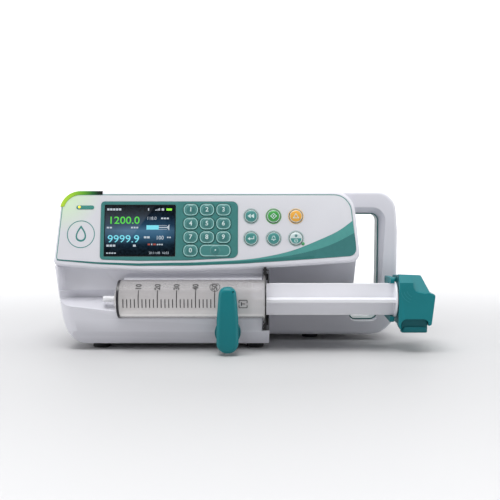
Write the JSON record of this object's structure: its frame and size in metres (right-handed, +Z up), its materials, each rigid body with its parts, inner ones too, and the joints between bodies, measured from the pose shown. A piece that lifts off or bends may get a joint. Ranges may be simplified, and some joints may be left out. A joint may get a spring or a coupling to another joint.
{
  "type": "syringe infusion pump",
  "caption": "Bench-top syringe infusion pump with overhanging control panel, side carrying handle, loaded syringe, swing clamp and sliding pusher head.",
  "frame": {"origin": "centre of the overall footprint, on the table under the rubber feet", "axes": "+X to the right along the syringe as the user faces the panel, +Y from the front to the back, +Z up"},
  "size_m": [0.3131, 0.1419, 0.1323],
  "materials": {
    "shell_white": "fine-textured cool white ABS",
    "overlay_grey": "printed polyester overlay, satin",
    "teal_frame": "satin teal",
    "pusher_teal": "semi-gloss dark teal ABS",
    "key_teal": "moulded silicone, satin",
    "key_green": "moulded silicone, satin",
    "key_orange": "moulded silicone, satin",
    "key_white": "moulded silicone, satin",
    "screen": "gloss acrylic window",
    "light_pipe": "translucent green acrylic",
    "led": "clear-tipped LED",
    "dark_plastic": "glass-filled nylon, matte",
    "clear_syringe": "clear polypropylene",
    "plunger_white": "white polypropylene",
    "stopper_rubber": "light grey bromobutyl rubber",
    "foot_rubber": "black rubber, matte",
    "bare_steel": "bright zinc plate",
    "tube_steel": "ground stainless tube",
    "cast_alloy": "machined aluminium",
    "brass_insert": "knurled brass",
    "nut_bronze": "bronze",
    "board_green": "green solder mask",
    "battery_blue": "shrink-wrapped cells"
  },
  "bodies": {
    "root": {"head_housing": "shell_white", "syringe_deck": "shell_white", "front_frame": "shell_white", "rear_housing": "shell_white", "handle_trim": "pusher_teal", "panel_overlay": "overlay_grey", "keypad_surround": "teal_frame", "display_lens": "screen", "display_module": "dark_plastic", "alarm_light": "light_pipe", "indicator_lights": "led", "flange_holder": "dark_plastic", "syringe_barrel": "clear_syringe", "clamp_bush": "cast_alloy", "chassis_frame": "bare_steel", "guide_rods": "tube_steel", "screw_bearings": "bare_steel", "drive_motor": "dark_plastic", "main_board": "board_green", "keypad_board": "board_green", "power_supply": "bare_steel", "battery_pack": "battery_blue", "battery_cover": "shell_white", "speaker": "dark_plastic", "power_inlet": "dark_plastic", "pole_clamp_inserts": "brass_insert", "housing_screws": "bare_steel", "rubber_feet": "foot_rubber"},
    "clamp_slide": {"clamp_sleeve": "pusher_teal"},
    "clamp_turn": {"clamp_arm": "pusher_teal", "clamp_shaft": "bare_steel"},
    "pusher": {"drive_tube": "tube_steel", "carriage": "cast_alloy", "pusher_front": "pusher_teal", "pusher_back": "pusher_teal", "plunger_rod": "plunger_white", "plunger_stopper": "stopper_rubber"},
    "paddle": {"release_paddle": "pusher_teal"},
    "claw_up": {"claw_upper": "pusher_teal"},
    "claw_down": {"claw_lower": "pusher_teal"},
    "nut": {"half_nut": "nut_bronze"},
    "screw": {"lead_screw": "tube_steel"},
    "pinion": {"motor_pinion": "bare_steel"},
    "cap_0": {"key_0": "key_teal"},
    "cap_1": {"key_1": "key_teal"},
    "cap_2": {"key_2": "key_teal"},
    "cap_3": {"key_3": "key_teal"},
    "cap_4": {"key_4": "key_teal"},
    "cap_5": {"key_5": "key_teal"},
    "cap_6": {"key_6": "key_teal"},
    "cap_7": {"key_7": "key_teal"},
    "cap_8": {"key_8": "key_teal"},
    "cap_9": {"key_9": "key_teal"},
    "cap_dot": {"key_dot": "key_teal"},
    "cap_rewind": {"key_rewind": "key_teal"},
    "cap_start": {"key_start": "key_green"},
    "cap_stop": {"key_stop": "key_orange"},
    "cap_enter": {"key_enter": "key_teal"},
    "cap_mute": {"key_mute": "key_teal"},
    "cap_power": {"key_power": "key_white"}
  },
  "joints": [
    {"name": "pusher_slide", "type": "slide", "parent": "root", "child": "pusher", "axis": [1, 0, 0], "range_m": [-0.088, 0.009]},
    {"name": "paddle_lift", "type": "slide", "parent": "pusher", "child": "paddle", "axis": [0, 0, 1], "range_m": [0, 0.006], "stiffness_N_per_m": 500, "springref_m": -0.003},
    {"name": "claw_up_turn", "type": "hinge", "parent": "pusher", "child": "claw_up", "pos_m": [0.1266, -0.024, 0.0572], "axis": [1, 0, 0], "range_deg": [-15, 0]},
    {"name": "claw_down_turn", "type": "hinge", "parent": "pusher", "child": "claw_down", "pos_m": [0.1266, -0.024, 0.0288], "axis": [1, 0, 0], "range_deg": [0, 15]},
    {"name": "nut_release", "type": "slide", "parent": "pusher", "child": "nut", "axis": [0, 1, 0], "range_m": [0, 0.0026]},
    {"name": "screw_spin", "type": "hinge", "parent": "root", "child": "screw", "pos_m": [0, 0.018, 0.042], "axis": [1, 0, 0], "continuous": true},
    {"name": "pinion_spin", "type": "hinge", "parent": "root", "child": "pinion", "pos_m": [-0.1085, 0.018, 0.0613], "axis": [1, 0, 0], "continuous": true},
    {"name": "clamp_pull", "type": "slide", "parent": "root", "child": "clamp_slide", "axis": [0, -1, 0], "range_m": [0, 0.01], "stiffness_N_per_m": 400, "springref_m": -0.004},
    {"name": "clamp_swing", "type": "hinge", "parent": "clamp_slide", "child": "clamp_turn", "pos_m": [-0.0116, -0.05, 0.0175], "axis": [0, 1, 0], "range_deg": [-90, 0]},
    {"name": "press_0", "type": "slide", "parent": "root", "child": "cap_0", "axis": [0, 0.9781, -0.2079], "range_m": [0, 0.0008], "stiffness_N_per_m": 900, "springref_m": -0.0006},
    {"name": "press_1", "type": "slide", "parent": "root", "child": "cap_1", "axis": [0, 0.9781, -0.2079], "range_m": [0, 0.0008], "stiffness_N_per_m": 900, "springref_m": -0.0006},
    {"name": "press_2", "type": "slide", "parent": "root", "child": "cap_2", "axis": [0, 0.9781, -0.2079], "range_m": [0, 0.0008], "stiffness_N_per_m": 900, "springref_m": -0.0006},
    {"name": "press_3", "type": "slide", "parent": "root", "child": "cap_3", "axis": [0, 0.9781, -0.2079], "range_m": [0, 0.0008], "stiffness_N_per_m": 900, "springref_m": -0.0006},
    {"name": "press_4", "type": "slide", "parent": "root", "child": "cap_4", "axis": [0, 0.9781, -0.2079], "range_m": [0, 0.0008], "stiffness_N_per_m": 900, "springref_m": -0.0006},
    {"name": "press_5", "type": "slide", "parent": "root", "child": "cap_5", "axis": [0, 0.9781, -0.2079], "range_m": [0, 0.0008], "stiffness_N_per_m": 900, "springref_m": -0.0006},
    {"name": "press_6", "type": "slide", "parent": "root", "child": "cap_6", "axis": [0, 0.9781, -0.2079], "range_m": [0, 0.0008], "stiffness_N_per_m": 900, "springref_m": -0.0006},
    {"name": "press_7", "type": "slide", "parent": "root", "child": "cap_7", "axis": [0, 0.9781, -0.2079], "range_m": [0, 0.0008], "stiffness_N_per_m": 900, "springref_m": -0.0006},
    {"name": "press_8", "type": "slide", "parent": "root", "child": "cap_8", "axis": [0, 0.9781, -0.2079], "range_m": [0, 0.0008], "stiffness_N_per_m": 900, "springref_m": -0.0006},
    {"name": "press_9", "type": "slide", "parent": "root", "child": "cap_9", "axis": [0, 0.9781, -0.2079], "range_m": [0, 0.0008], "stiffness_N_per_m": 900, "springref_m": -0.0006},
    {"name": "press_dot", "type": "slide", "parent": "root", "child": "cap_dot", "axis": [0, 0.9781, -0.2079], "range_m": [0, 0.0008], "stiffness_N_per_m": 900, "springref_m": -0.0006},
    {"name": "press_rewind", "type": "slide", "parent": "root", "child": "cap_rewind", "axis": [0, 0.9781, -0.2079], "range_m": [0, 0.0008], "stiffness_N_per_m": 900, "springref_m": -0.0006},
    {"name": "press_start", "type": "slide", "parent": "root", "child": "cap_start", "axis": [0, 0.9781, -0.2079], "range_m": [0, 0.0008], "stiffness_N_per_m": 900, "springref_m": -0.0006},
    {"name": "press_stop", "type": "slide", "parent": "root", "child": "cap_stop", "axis": [0, 0.9781, -0.2079], "range_m": [0, 0.0008], "stiffness_N_per_m": 900, "springref_m": -0.0006},
    {"name": "press_enter", "type": "slide", "parent": "root", "child": "cap_enter", "axis": [0, 0.9781, -0.2079], "range_m": [0, 0.0008], "stiffness_N_per_m": 900, "springref_m": -0.0006},
    {"name": "press_mute", "type": "slide", "parent": "root", "child": "cap_mute", "axis": [0, 0.9781, -0.2079], "range_m": [0, 0.0008], "stiffness_N_per_m": 900, "springref_m": -0.0006},
    {"name": "press_power", "type": "slide", "parent": "root", "child": "cap_power", "axis": [0, 0.9781, -0.2079], "range_m": [0, 0.0008], "stiffness_N_per_m": 900, "springref_m": -0.0006}
  ],
  "couplings": [
    {"joint": "claw_up_turn", "follows": "paddle_lift", "rad_per_m": -43},
    {"joint": "claw_down_turn", "follows": "paddle_lift", "rad_per_m": 43},
    {"joint": "nut_release", "follows": "paddle_lift", "ratio": 0.4167},
    {"joint": "pinion_spin", "follows": "screw_spin", "ratio": -2.8}
  ]
}
